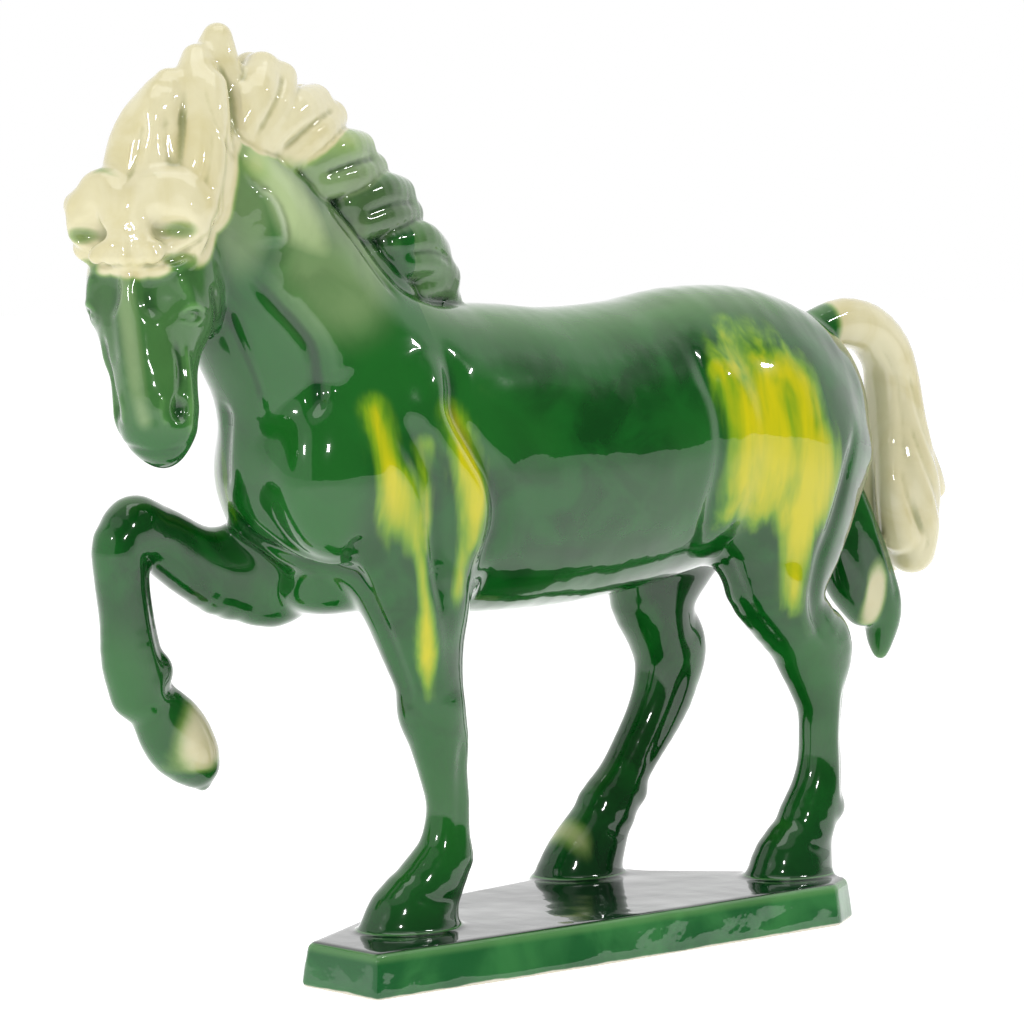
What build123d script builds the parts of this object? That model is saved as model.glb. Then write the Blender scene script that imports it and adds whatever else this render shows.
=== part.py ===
"""Glazed ceramic statue of a horse on a low plinth, one foreleg raised and the head turned to its left.

Millimetres. +X is the way the horse faces, +Y its left and +Z up, from the middle of the plinth's underside.
A moulded member is a line of stations, each (x, y, z, half width, half depth) of an elliptical section.
"""
from build123d import *
from copy import deepcopy
import os

os.makedirs("parts", exist_ok=True)

# Driving dimensions
BODY_Y = -10  # the body's mid-plane
PLINTH_HEIGHT = 15
PLINTH_WALL = 5  # top and underside
PLINTH_SIDE = 8
PLINTH_EDGE = 1.5
PLINTH_CORNER = 3
PLINTH_DRAFT = 8  # degrees
BODY_WALL = 6
VENT_RADIUS = 1.5
VENT_X = -60
ACROSS = (0, 1, 0)
HEAD_ACROSS = (-0.60, 0.80, 0)  # across the head, which is turned 37 degrees to the left

# Outline of the plinth, anticlockwise
PLINTH_OUTLINE = [
    (112, 9),
    (112, 42),
    (20, 44),
    (-98, 43),
    (-113, 34),
    (-116, 17),
    (-68, -27),
    (-58, -47),
    (-28, -50),
    (-18, -40),
    (52, -29),
]

TORSO = [
    (117, BODY_Y, 170, 12, 17),
    (107, BODY_Y, 172, 22, 31),
    (88, BODY_Y, 173, 31.5, 43),
    (60, BODY_Y, 172, 40, 51),
    (30, BODY_Y, 170.5, 42, 53),
    (0, BODY_Y, 169.5, 42, 52),
    (-40, BODY_Y, 172.5, 41, 51),
    (-72, BODY_Y, 178, 40, 50),
    (-100, BODY_Y, 179, 38, 46),
    (-124, BODY_Y, 177, 30.5, 38.5),
    (-141, BODY_Y, 173, 19, 28),
    (-150, BODY_Y, 171, 9, 14),
]
NECK = [
    (76, -10, 186, 34, 44),
    (98, -10, 212, 29, 40),
    (118, -9, 235, 25, 35),
    (134, -7, 253, 21, 30),
    (148, -6, 266, 17, 24),
    (154, -6, 272, 12, 17),
]
HEAD = [
    (159, -9, 284, 9, 11),
    (160, -9, 270, 16, 19),
    (161.5, -8, 250, 18.5, 20),
    (163.5, -5, 232, 18, 19.5),
    (166, -2, 214, 14, 17.5),
    (168.5, 1, 199, 12.2, 14.5),
    (170, 3.5, 186, 12, 12.5),
    (171, 5, 176, 8, 9),
    (171.5, 5.5, 171.5, 4, 5),
]
LEFT_EAR = [
    (158, 7, 238, 6, 4),
    (158, 7.5, 244, 10, 6),
    (159, 8, 253, 11, 7),
    (158, 8, 260, 9, 6),
    (157, 8, 265, 5, 4),
]
RIGHT_EAR = [
    (175, -17, 239, 6, 4),
    (175, -17.5, 244, 9, 6),
    (176, -18, 252, 9.5, 7),
    (175, -18, 259, 8, 6),
    (174, -18, 264, 5, 4),
]
FORELOCK = [
    (174, 1, 276, 8, 6),
    (178, 3, 262, 8, 7),
    (181, 4, 250, 9, 6),
    (181, 5, 241, 11, 4.5),
    (180, 5, 236, 8, 3),
]
PLUME = [
    (134, -7, 314, 5, 5),
    (140, -7, 306, 9, 10),
    (149, -6, 297, 12, 14),
    (160, -5, 285, 14, 14),
    (168, -3, 272, 17, 12),
    (172, -1, 262, 17, 9),
]
# root on the crest, middle, and two near the tip, for each lock from the poll to the withers
MANE_LOCKS = [
    [(136, -7, 272, 13, 11), (130, -8, 288, 12, 11), (122, -9, 300, 10, 9.5), (116, -9, 307, 6, 6)],
    [(120, -8, 260, 13, 14), (108, -9, 278, 12, 13.5), (96, -10, 290, 10, 11), (87, -10, 295, 6, 7)],
    [(102, -9, 248, 13, 13), (91, -9, 265, 12, 12.5), (80, -10, 275, 10, 10.5), (71, -10, 279, 6, 6)],
    [(84, -9, 236, 12, 11), (75, -9, 252, 11, 11), (65, -10, 261, 9.5, 9.5), (57, -10, 264, 5, 5)],
    [(76, -9, 222, 11, 11), (64, -9, 238, 10, 11.5), (50, -10, 242, 8.5, 9.5), (38, -10, 234, 5, 6)],
]
TAIL = [
    (-122, BODY_Y, 207, 6, 6),
    (-136, BODY_Y, 211, 8, 7.5),
    (-149, BODY_Y, 213, 9.5, 9.5),
    (-163, BODY_Y, 211, 11, 10.5),
    (-174, BODY_Y, 203, 12, 11.5),
    (-178, BODY_Y, 190, 12, 11.5),
    (-179, BODY_Y, 176, 13, 13),
    (-182, BODY_Y, 160, 15, 17),
    (-183, BODY_Y, 146, 15, 17.5),
    (-183, BODY_Y, 133, 13, 15),
    (-182, BODY_Y, 122, 9, 10),
    (-181, BODY_Y, 116, 4, 4),
]
TAIL_INNER_LOCK = [
    (-170, -8, 160, 8, 7),
    (-160, -8, 144, 10, 9),
    (-157, -8, 130, 10, 9),
    (-160, -8, 116, 9.5, 9),
    (-165, -8, 104, 8, 8),
    (-171, -8, 93, 5.5, 5.5),
    (-174, -8, 86, 2.5, 2.5),
]
LEFT_FORELEG = [
    (76, 6, 165, 16, 26),
    (73, 10, 140, 18, 25),
    (71, 12, 123, 16, 18.5),
    (69, 12, 111, 13, 15),
    (66, 12, 98, 10.5, 12),
    (64, 12, 87, 10, 11),
    (62, 12, 79, 9.5, 10.5),
    (60, 12, 67, 7.5, 8.5),
    (58, 12, 56, 6.8, 7.5),
    (58.5, 12, 47, 7.2, 8),
    (60, 12, 38, 8.8, 10),
    (64, 11.5, 31, 10, 11.5),
    (68, 11, 24, 11.5, 15),
    (71, 10, 16, 12.5, 18),
    (73, 10, 10, 13, 20),
]
RIGHT_FOREARM = [
    (82, -30, 156, 14, 24),
    (98, -35, 137, 15, 19),
    (112, -37, 134, 13, 16),
    (126, -37, 138, 11, 12.5),
    (140, -37, 146, 10, 11),
    (149, -36.5, 150, 9.5, 10.5),
]
RIGHT_FOREFOOT = [
    (149, -36.5, 156, 6.5, 6),
    (154, -36, 152, 9, 9.5),
    (157, -36, 142, 9.2, 10),
    (156.5, -36, 132, 8.8, 9.3),
    (155, -36, 120, 8.6, 9.2),
    (153, -36, 107, 9, 10.4),
    (150, -36, 97, 9, 10.4),
    (145, -36, 88, 8.4, 8.8),
    (138, -36, 80, 9.2, 9.2),
    (131, -36, 72, 9.2, 8.6),
    (126, -36, 65, 5, 4.5),
]
LEFT_HIND_LEG = [
    (-102, 4, 170, 18, 38),
    (-96, 11, 140, 19, 28),
    (-92, 14, 122, 17, 19.5),
    (-97, 15, 111, 13, 15.5),
    (-106, 15, 101, 12, 14.5),
    (-110, 15, 93, 11, 14),
    (-112, 15, 85, 9.5, 11.5),
    (-114, 15, 75, 8, 8.6),
    (-114, 15, 64, 7.5, 7.8),
    (-114, 15, 53, 7.8, 8.6),
    (-112, 15, 43, 9, 10),
    (-108, 15, 34, 10, 11.5),
    (-103, 15, 25, 11.5, 14),
    (-100, 15, 16, 12.5, 17.5),
    (-98, 15, 10, 13, 19),
]
RIGHT_HIND_LEG = [
    (-90, -24, 165, 18, 36),
    (-80, -31, 134, 18, 23),
    (-76, -34, 113, 15, 16),
    (-80, -34, 102, 12.5, 13.5),
    (-83.5, -34, 92, 11, 13),
    (-82.5, -34, 81, 10, 12.5),
    (-77, -34, 70, 9, 11),
    (-69, -34, 59, 8.5, 9.6),
    (-61, -34, 48, 8.5, 9.4),
    (-54, -34, 38, 10, 12),
    (-47, -34, 28, 11.5, 14),
    (-42, -34, 17, 12.5, 16.5),
    (-39, -34, 10, 13, 18),
]


def sections(stations, across):
    """A plane square to the member's line at each station, with the section's half width and half depth."""
    last = len(stations) - 1
    for i, (x, y, z, half_width, half_depth) in enumerate(stations):
        before = Vector(*stations[max(i - 1, 0)][:3])
        after = Vector(*stations[min(i + 1, last)][:3])
        yield Plane(origin=(x, y, z), x_dir=across, z_dir=after - before), half_width, half_depth


def member(stations, across=ACROSS, luted_to=()):
    """A member lofted through its stations and cut back to the faces of the pieces it is luted to.

    Each neighbour is cut away as a copy, because a cut loosens the tolerances of the solids it uses.
    """
    with BuildPart() as piece:
        for plane, half_width, half_depth in sections(stations, across):
            with BuildSketch(plane):
                Ellipse(half_width, half_depth)
        loft(ruled=True)
        for neighbour in luted_to:
            add(deepcopy(neighbour), mode=Mode.SUBTRACT)
    return piece.part.solids().sort_by(SortBy.VOLUME)[-1]


def write(shape, label):
    """The labelled piece in a STEP file of its own."""
    shape.label = label
    export_step(shape, f"parts/{label}.step")


# Plinth: a closed slip-cast box with a flat unglazed underside
with BuildPart() as plinth_block:
    with BuildSketch():
        with BuildLine():
            Polyline(*PLINTH_OUTLINE, close=True)
        plinth_outline = make_face()
        fillet(plinth_outline.vertices(), radius=PLINTH_CORNER)
    extrude(amount=PLINTH_HEIGHT, taper=PLINTH_DRAFT)
    fillet(plinth_block.faces().sort_by(Axis.Z)[-1].edges(), radius=PLINTH_EDGE)

with BuildPart() as plinth:
    add(deepcopy(plinth_block.part))
    with BuildSketch(Plane.XY.offset(PLINTH_WALL)):
        with BuildLine():
            Polyline(*PLINTH_OUTLINE, close=True)
        make_face()
        offset(amount=-PLINTH_SIDE, kind=Kind.INTERSECTION, mode=Mode.REPLACE)
    extrude(amount=PLINTH_HEIGHT - 2 * PLINTH_WALL, mode=Mode.SUBTRACT)
plinth.part.label = "plinth"
export_step(plinth.part, "parts/plinth.step")

# Torso: a closed slip-cast shell with a vent under the belly
torso_solid = member(TORSO)
cavity_stations = [
    (x, y, z, half_width - BODY_WALL, half_depth - BODY_WALL) for x, y, z, half_width, half_depth in TORSO[1:-2]
]
cavity = member(cavity_stations)
with BuildPart() as torso:
    add(deepcopy(torso_solid))
    add(cavity, mode=Mode.SUBTRACT)
    with BuildSketch(Plane.XY.offset(TORSO[0][2])):
        with Locations((VENT_X, BODY_Y)):
            Circle(VENT_RADIUS)
    extrude(amount=-TORSO[0][2] / 2, mode=Mode.SUBTRACT)
torso.part.label = "torso"
export_step(torso.part, "parts/torso.step")

# Neck and head
neck = member(NECK, luted_to=[torso_solid])
head = member(HEAD, HEAD_ACROSS, luted_to=[neck, torso_solid])
write(neck, "neck")
write(head, "head")

# Hair and ears on the head
plume = member(PLUME, HEAD_ACROSS, luted_to=[neck, head])
forelock = member(FORELOCK, HEAD_ACROSS, luted_to=[head, plume])
left_ear = member(LEFT_EAR, HEAD_ACROSS, luted_to=[head, plume, neck, forelock])
right_ear = member(RIGHT_EAR, HEAD_ACROSS, luted_to=[head, plume, forelock])
write(plume, "plume")
write(forelock, "forelock")
write(left_ear, "left_ear")
write(right_ear, "right_ear")

# Mane, each lock cut back to the one before it
previous = plume
for number, stations in enumerate(MANE_LOCKS, start=1):
    lock = member(stations, luted_to=[neck, head, torso_solid, previous])
    write(lock, f"mane_lock_{number}")
    previous = lock

# Tail
tail = member(TAIL, luted_to=[torso_solid])
left_hind_leg = member(LEFT_HIND_LEG, luted_to=[torso_solid, plinth_block.part])
right_hind_leg = member(RIGHT_HIND_LEG, luted_to=[torso_solid, plinth_block.part])
tail_inner_lock = member(TAIL_INNER_LOCK, luted_to=[torso_solid, tail, left_hind_leg])
write(tail, "tail")
write(tail_inner_lock, "tail_inner_lock")

# Legs
left_foreleg = member(LEFT_FORELEG, luted_to=[torso_solid, plinth_block.part])
right_forearm = member(RIGHT_FOREARM, luted_to=[torso_solid, neck])
right_forefoot = member(RIGHT_FOREFOOT, luted_to=[right_forearm])
write(left_foreleg, "left_foreleg")
write(right_forearm, "right_forearm")
write(right_forefoot, "right_forefoot")
write(left_hind_leg, "left_hind_leg")
write(right_hind_leg, "right_hind_leg")
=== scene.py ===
"""Glazed ceramic horse on a plinth: sculpted as one clay body, cut into its luted sections, then glazed.

The sculpting is done in millimetres, in the frame's axes: +X the way the horse faces, +Y its left, +Z up.
"""
import bpy
import math
import numpy as np
import openvdb
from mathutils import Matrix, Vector


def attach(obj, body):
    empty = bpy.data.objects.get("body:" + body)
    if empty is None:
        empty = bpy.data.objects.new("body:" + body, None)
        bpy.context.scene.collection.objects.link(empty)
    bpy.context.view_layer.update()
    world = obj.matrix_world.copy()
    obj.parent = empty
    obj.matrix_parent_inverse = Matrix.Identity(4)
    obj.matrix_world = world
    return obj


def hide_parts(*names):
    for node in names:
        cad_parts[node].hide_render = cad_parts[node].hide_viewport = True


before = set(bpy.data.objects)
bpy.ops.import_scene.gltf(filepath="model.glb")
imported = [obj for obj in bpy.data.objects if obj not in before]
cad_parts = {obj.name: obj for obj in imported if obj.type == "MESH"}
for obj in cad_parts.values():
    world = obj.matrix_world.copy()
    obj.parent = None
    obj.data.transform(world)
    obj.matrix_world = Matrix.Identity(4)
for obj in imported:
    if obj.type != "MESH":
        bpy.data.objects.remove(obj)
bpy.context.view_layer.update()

MM = 0.001
FAR = 30.0  # distance stored well away from the clay
CONE_BLEND = 0.8  # melts the cones of one member together
CREST_Y = -8  # the plane down the middle of the mane
SEAM_OVERLAP = 0.8  # the neck and head reach this far past their seam
CAP_INSET = 2.5  # how far inside its rim a cut piece is closed
BODY_Y = -10
ACROSS = (0, 1, 0)
PLINTH_TOP = 15
HEAD_YAW = math.radians(33)
HEAD_FRONT = np.array([math.cos(HEAD_YAW), math.sin(HEAD_YAW), 0])
HEAD_LEFT = np.array([-math.sin(HEAD_YAW), math.cos(HEAD_YAW), 0])


def unit(v):
    v = np.asarray(v, float)
    return v / max(np.linalg.norm(v), 1e-9)


def on_head(front, left, z):
    """A point of the head, given forward and to the left of its leaning middle line at height z."""
    below = 250 - z
    centre = np.array([161.5, -8, 0]) + HEAD_FRONT * below * 0.22 + HEAD_LEFT * below * 0.067
    x, y, _ = centre + HEAD_FRONT * front + HEAD_LEFT * left
    return x, y, z


def smooth_min(a, b, blend):
    if blend <= 0:
        return np.minimum(a, b)
    h = np.maximum(blend - np.abs(a - b), 0) / blend
    return np.minimum(a, b) - h * h * blend * 0.25


def spline(points, step):
    """Points along a smooth line through the given ones; extra columns are carried along."""
    points = np.asarray(points, float)
    ends = np.vstack([2 * points[0] - points[1], points, 2 * points[-1] - points[-2]])
    line = []
    for p0, p1, p2, p3 in zip(ends, ends[1:], ends[2:], ends[3:]):
        c0, c1, c2 = (np.linalg.norm((b - a)[:3]) + 1e-6 for a, b in ((p0, p1), (p1, p2), (p2, p3)))
        m1 = ((p1 - p0) / c0 * c1 + (p2 - p1) / c1 * c0) / (c0 + c1) * c1
        m2 = ((p2 - p1) / c1 * c2 + (p3 - p2) / c2 * c1) / (c1 + c2) * c1
        pieces = max(1, math.ceil(c1 / step))
        for t in np.arange(pieces) / pieces:
            line.append(
                (2 * t**3 - 3 * t**2 + 1) * p1
                + (t**3 - 2 * t**2 + t) * m1
                + (3 * t**2 - 2 * t**3) * p2
                + (t**3 - t**2) * m2
            )
    line.append(points[-1])
    return np.array(line)


def ellipsoid_distance(a, b, c, radii):
    """Rough distance to an ellipsoid from a place given along its three axes."""
    k0 = np.sqrt((a / radii[0]) ** 2 + (b / radii[1]) ** 2 + (c / radii[2]) ** 2)
    k1 = np.sqrt((a / radii[0] ** 2) ** 2 + (b / radii[1] ** 2) ** 2 + (c / radii[2] ** 2) ** 2)
    return k0 * (k0 - 1) / np.maximum(k1, 1e-6)


def cone_distance(x, y, z, start, end, across):
    """Distance to a tapering elliptical cone between two stations (x, y, z, half width, half depth)."""
    along = end[:3] - start[:3]
    length = np.linalg.norm(along)
    along = along / length
    side = unit(np.asarray(across) - np.dot(across, along) * along)
    deep = np.cross(along, side)
    dx, dy, dz = x - start[0], y - start[1], z - start[2]
    s = dx * along[0] + dy * along[1] + dz * along[2]
    t = np.clip(s / length, 0, 1)
    over = s - t * length
    a = dx * side[0] + dy * side[1] + dz * side[2]
    b = dx * deep[0] + dy * deep[1] + dz * deep[2]
    ra = start[3] + (end[3] - start[3]) * t
    rb = start[4] + (end[4] - start[4]) * t
    return ellipsoid_distance(a, b, over, (ra, rb, np.minimum(ra, rb)))


class Clay:
    """A signed distance field on a grid, negative inside the clay."""

    def __init__(self, low, high, step):
        self.step = step
        self.low = np.array(low, float)
        self.size = np.ceil((np.array(high) - self.low) / step).astype(int) + 1
        self.d = np.full(self.size, FAR, np.float32)

    def block(self, low, high):
        """The part of the grid between two corners, which may be empty, with its coordinates."""
        a = np.clip(np.floor((np.array(low) - self.low) / self.step).astype(int), 0, self.size)
        b = np.clip(np.ceil((np.array(high) - self.low) / self.step).astype(int) + 1, a, self.size)
        at = tuple(slice(i, j) for i, j in zip(a, b))
        x, y, z = ((self.low[k] + self.step * np.arange(a[k], b[k])).astype(np.float32) for k in range(3))
        return at, x[:, None, None], y[None, :, None], z[None, None, :]

    def member(self, stations, blend, across=ACROSS, step=5.0):
        """Adds a member swept through its stations (x, y, z, half width, half depth)."""
        line = spline(stations, step)
        reach = line[:, 3:5].max() + blend + 3 * self.step
        at = self.block(line[:, :3].min(0) - reach, line[:, :3].max(0) + reach)[0]
        own = np.full(self.d[at].shape, FAR, np.float32)
        first = [s.start for s in at]
        for i, (start, end) in enumerate(zip(line, line[1:])):
            reach = max(*start[3:5], *end[3:5]) + blend + 2 * self.step
            low, high = np.minimum(start, end)[:3] - reach, np.maximum(start, end)[:3] + reach
            where, x, y, z = self.block(low, high)
            local = tuple(slice(s.start - f, s.stop - f) for s, f in zip(where, first))
            d = cone_distance(x, y, z, start, end, across).astype(np.float32)
            own[local] = smooth_min(own[local], d, CONE_BLEND if i else 0)
        self.d[at] = smooth_min(self.d[at], own, blend)

    def lump(self, centre, radii, blend, axes=None, carve=False):
        """Adds an ellipsoid, or carves it away."""
        centre = np.asarray(centre, float)
        radii = np.asarray(radii, float)
        axes = np.eye(3) if axes is None else np.array([unit(a) for a in axes])
        reach = radii.max() + blend + 3 * self.step
        at, x, y, z = self.block(centre - reach, centre + reach)
        x, y, z = x - centre[0], y - centre[1], z - centre[2]
        a, b, c = (x * m[0] + y * m[1] + z * m[2] for m in axes)
        own = ellipsoid_distance(a, b, c, radii).astype(np.float32)
        if carve:
            self.d[at] = -smooth_min(-self.d[at], own, blend)
        else:
            self.d[at] = smooth_min(self.d[at], own, blend)

    def bundle(self, strands, within, blend, across=ACROSS):
        """Adds strands that melt into one another more than into the rest."""
        reach = 20
        everything = np.concatenate([np.asarray(s, float)[:, :3] for s in strands])
        at = self.block(everything.min(0) - reach, everything.max(0) + reach)[0]
        low = self.low + np.array([part.start for part in at]) * self.step
        own = Clay(low, low + (np.array(self.d[at].shape) - 1.5) * self.step, self.step)
        for strand in strands:
            own.member(strand, within, across, step=4)
        self.d[at] = smooth_min(self.d[at], own.d, blend)

    def value(self, points):
        """The field at points, from the eight grid values around each."""
        at = (points - self.low) / self.step
        cell = np.clip(np.floor(at).astype(int), 0, self.size - 2)
        fx, fy, fz = np.clip(at - cell, 0, 1).T
        i, j, k = cell.T
        total = 0
        for a, wx in ((0, 1 - fx), (1, fx)):
            for b, wy in ((0, 1 - fy), (1, fy)):
                for c, wz in ((0, 1 - fz), (1, fz)):
                    total = total + self.d[i + a, j + b, k + c] * wx * wy * wz
        return total

    def slope(self, points, reach):
        """The field's gradient at points, over that reach each way."""
        steps = np.eye(3) * reach
        rise = [self.value(points + s) - self.value(points - s) for s in steps]
        return np.stack(rise, 1) / (2 * reach)

    def laid_on(self, points, reach=9):
        """Points moved onto the surface, where they are in the grid and near it."""
        points = np.array(points, float)
        high = self.low + (self.size - 1) * self.step
        for _ in range(3):
            inside = ((points > self.low + 2) & (points < high - 2)).all(1)
            d = self.value(points)
            move = inside & (np.abs(d) < reach)
            way = self.slope(points, 1.5)
            way /= np.maximum(np.linalg.norm(way, axis=1), 1e-6)[:, None]
            points[move] -= (d[:, None] * way)[move]
        return points

    def stroke(self, points, depth, width, step=4.0):
        """Draws a groove of that depth and width along a smooth line, or a ridge if depth is negative.

        The line is laid on the surface first. Both ends fade out.
        """
        line = self.laid_on(spline(points, step))
        reach = 2.6 * width + self.step
        at = self.block(line.min(0) - reach, line.max(0) + reach)[0]
        near = np.full(self.d[at].shape, reach * reach, np.float32)
        weight = np.zeros(self.d[at].shape, np.float32)
        first = [s.start for s in at]
        last = len(line) - 1
        for i, (start, end) in enumerate(zip(line, line[1:])):
            where, x, y, z = self.block(np.minimum(start, end) - reach, np.maximum(start, end) + reach)
            local = tuple(slice(s.start - f, s.stop - f) for s, f in zip(where, first))
            along = end - start
            dx, dy, dz = x - start[0], y - start[1], z - start[2]
            t = np.clip((dx * along[0] + dy * along[1] + dz * along[2]) / np.dot(along, along), 0, 1)
            d2 = (dx - t * along[0]) ** 2 + (dy - t * along[1]) ** 2 + (dz - t * along[2]) ** 2
            closer = d2 < near[local]
            run = (i + t) / last
            fade = np.minimum(1, 6 * np.minimum(run, 1 - run) + 0.15)
            near[local] = np.where(closer, d2, near[local])
            weight[local] = np.where(closer, fade, weight[local])
        self.d[at] += depth * weight * np.exp(-near / (width * width))

    def soften(self):
        """Smooths the field a little, to hide the grid and the seams of blends."""
        for axis in range(3):
            d = np.moveaxis(self.d, axis, 0)
            d[1:-1] = 0.25 * d[:-2] + 0.5 * d[1:-1] + 0.25 * d[2:]


TORSO = [
    (117, BODY_Y, 170, 12, 17), (107, BODY_Y, 172, 22, 31), (88, BODY_Y, 173, 31.5, 43),
    (60, BODY_Y, 172, 40, 51), (30, BODY_Y, 170.5, 42, 53), (0, BODY_Y, 169.5, 42, 52),
    (-40, BODY_Y, 172.5, 41, 51), (-72, BODY_Y, 178, 40, 50), (-100, BODY_Y, 179, 38, 46),
    (-121, BODY_Y, 175.5, 29.5, 36.5), (-132, BODY_Y, 172, 17, 25),
]
NECK = [
    (76, -10, 186, 34, 44), (98, -10, 212, 29, 40), (118, -9, 235, 25, 35), (134, -7, 253, 21, 30),
    (148, -6, 266, 17, 24),
]
SKULL = [
    (*on_head(0, 0, 272), 15, 18), (*on_head(0, 0, 250), 19, 19), (*on_head(0, -1, 234), 20.5, 18),
    (*on_head(0, -1, 223), 19, 17.5), (*on_head(0, -1, 214), 16, 16.5),
    (*on_head(0.5, 0, 206), 13.4, 15.5), (*on_head(1, 1, 197), 13, 14), (*on_head(1, 2, 188), 12.5, 12),
    (*on_head(1, 3.5, 181), 7, 9),
]
LEFT_FORELEG = [
    (76, 8, 165, 18, 28), (73, 10, 140, 18, 25), (71, 12, 123, 16, 18.5), (69, 12, 111, 13, 15),
    (66, 12, 98, 10.5, 12), (64, 12, 87, 10, 11), (62, 12, 79, 9.5, 10.5), (60, 12, 67, 7.5, 8.5),
    (58, 12, 56, 6.8, 7.5), (58.5, 12, 47, 7.2, 8), (60, 12, 38, 8.8, 10), (64, 11.5, 31, 10, 11.5),
]
LEFT_FORE_HOOF = [
    (63, 12, 34, 8.5, 9.5), (67, 11, 27, 10.5, 12.5), (71, 10, 19, 12.5, 17), (73, 10, 13, 13.5, 19),
]
RIGHT_FOREARM = [
    (84, -32, 150, 16, 24), (98, -36, 137, 15, 19), (112, -37, 134, 13, 16), (126, -37, 138, 11, 12.5),
    (140, -37, 146, 10, 11), (151, -36, 151, 9.5, 10.5),
]
RIGHT_CANNON = [
    (151, -36, 151, 9.5, 10.5), (157, -36, 146, 9.2, 9.6), (157, -36, 136, 8.8, 9.2),
    (155, -36, 121, 8.6, 9.2), (153, -36, 107, 9, 10.6), (150, -36, 97, 9, 10.4),
]
RIGHT_FORE_HOOF = [
    (150, -36, 97, 8, 9.5), (144, -36, 91, 8, 9.5), (139, -36, 85, 9.5, 11.5),
    (133, -36, 77, 10.5, 11.5), (128, -36, 71, 8.5, 8.5), (126, -36, 67, 5, 5), (125, -36, 64, 3, 3),
]
LEFT_HIND_LEG = [
    (-102, 8, 170, 20, 40), (-96, 12, 140, 19, 28), (-92, 14, 122, 17, 19.5), (-97, 15, 111, 13, 15.5),
    (-106, 15, 101, 12, 14.5), (-110, 15, 93, 11, 14), (-112, 15, 85, 9.5, 11.5),
    (-114, 15, 75, 8, 8.6), (-114, 15, 64, 7.5, 7.8), (-114, 15, 53, 7.8, 8.6), (-112, 15, 43, 9, 10),
    (-108, 15, 35, 10, 11),
]
LEFT_HIND_HOOF = [
    (-109, 15, 37, 8.5, 9.5), (-105, 15, 28, 10.5, 12), (-101, 15, 20, 12.3, 16),
    (-99, 15, 13, 13.3, 18),
]
RIGHT_HIND_LEG = [
    (-90, -28, 160, 20, 38), (-80, -32, 132, 18, 23), (-76, -34, 113, 15, 16),
    (-80, -34, 102, 12.5, 13.5), (-83.5, -34, 92, 11, 13), (-82.5, -34, 81, 10, 12.5),
    (-77, -34, 70, 9, 11), (-69, -34, 59, 8.5, 9.6), (-61, -34, 48, 8.5, 9.4), (-54, -34, 38, 10, 12),
]
RIGHT_HIND_HOOF = [
    (-55, -34, 40, 8.5, 10), (-49, -34, 30, 10.5, 12.5), (-43, -34, 20, 12.3, 15.5),
    (-40, -34, 13, 13.3, 17.5),
]
TAIL = [
    (-122, BODY_Y, 206, 7, 7), (-136, BODY_Y, 211, 8, 7.5), (-149, BODY_Y, 213, 9, 9),
    (-161, BODY_Y, 210.5, 9.5, 9.5), (-171, BODY_Y, 202, 9.5, 10), (-176, BODY_Y, 190, 9.5, 10),
    (-178, BODY_Y, 176, 10, 10.5), (-180, BODY_Y, 160, 11, 12), (-181, BODY_Y, 146, 11, 13),
    (-180, BODY_Y, 136, 10, 11),
]
TAIL_STRANDS = [
    [(-174, -9, 196, 6, 6), (-179, -9, 182, 6.5, 6.5), (-184, -8, 166, 7, 7), (-191, -8, 155, 6.5, 6.5),
     (-198, -9, 149, 4, 4.5)],
    [(-173, -8, 198, 6, 6), (-177, -7, 182, 6.5, 6.5), (-181, -4, 162, 7.5, 7.5), (-186, -3, 146, 6, 6),
     (-189, -4, 137, 4, 4)],
    [(-172, -8, 194, 6, 6), (-174, -7, 178, 6.5, 7), (-177, -3, 158, 8, 8), (-181, -3, 138, 9.5, 9),
     (-181, -5, 127, 9.5, 9)],
    [(-171, -8, 190, 5.5, 5.5), (-172, -7, 170, 6.5, 6.5), (-170, -3, 150, 7, 7.5), (-173, -3, 134, 8, 8)],
]
TAIL_INNER_STRANDS = [
    [(-146, -12, 146, 6, 6), (-149, -10, 130, 9, 9), (-152, -9, 117, 9.5, 9), (-159, -8, 107, 8, 8)],
    [(-150, -8, 150, 6, 6), (-154, -6, 136, 7.5, 7.5), (-160, -5, 120, 8, 8), (-167, -6, 104, 7, 7),
     (-168, -8, 94, 5, 5), (-168, -8, 89, 3, 3)],
]
# Hair: each lock is a few strands, given down the left side of the crest
PLUME = [
    [(135, -5, 278, 9, 9), (137, -7, 293, 9, 9), (139, -7, 303, 8, 7), (138, -7, 311, 5, 5)],
    [(148, -2, 270, 9, 9), (149, 0, 283, 9, 9), (149, -3, 295, 8, 8), (147, -6, 304, 5, 5)],
    [(160, -6, 264, 10, 9), (163, -5, 276, 9, 8.5), (162, -5, 288, 7.5, 8), (158, -6, 296, 5, 5)],
    [(168, -13, 262, 9.5, 9), (167, -12, 274, 8.5, 8.5), (165, -11, 284, 7, 7), (161, -9, 292, 4.5, 5)],
    [(157, 6, 258, 9, 8), (154, 7, 270, 8, 8), (151, 5, 283, 7, 7), (147, 2, 295, 5, 5)],
]
CREST = [
    (142, -8, 284, 9, 9), (124, -8, 284, 7, 8), (106, -9, 275, 7, 8), (88, -9, 260, 7, 8),
    (71, -9, 246, 6, 8), (58, -9, 233, 6, 7), (46, -9, 222, 5, 5),
]
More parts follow.
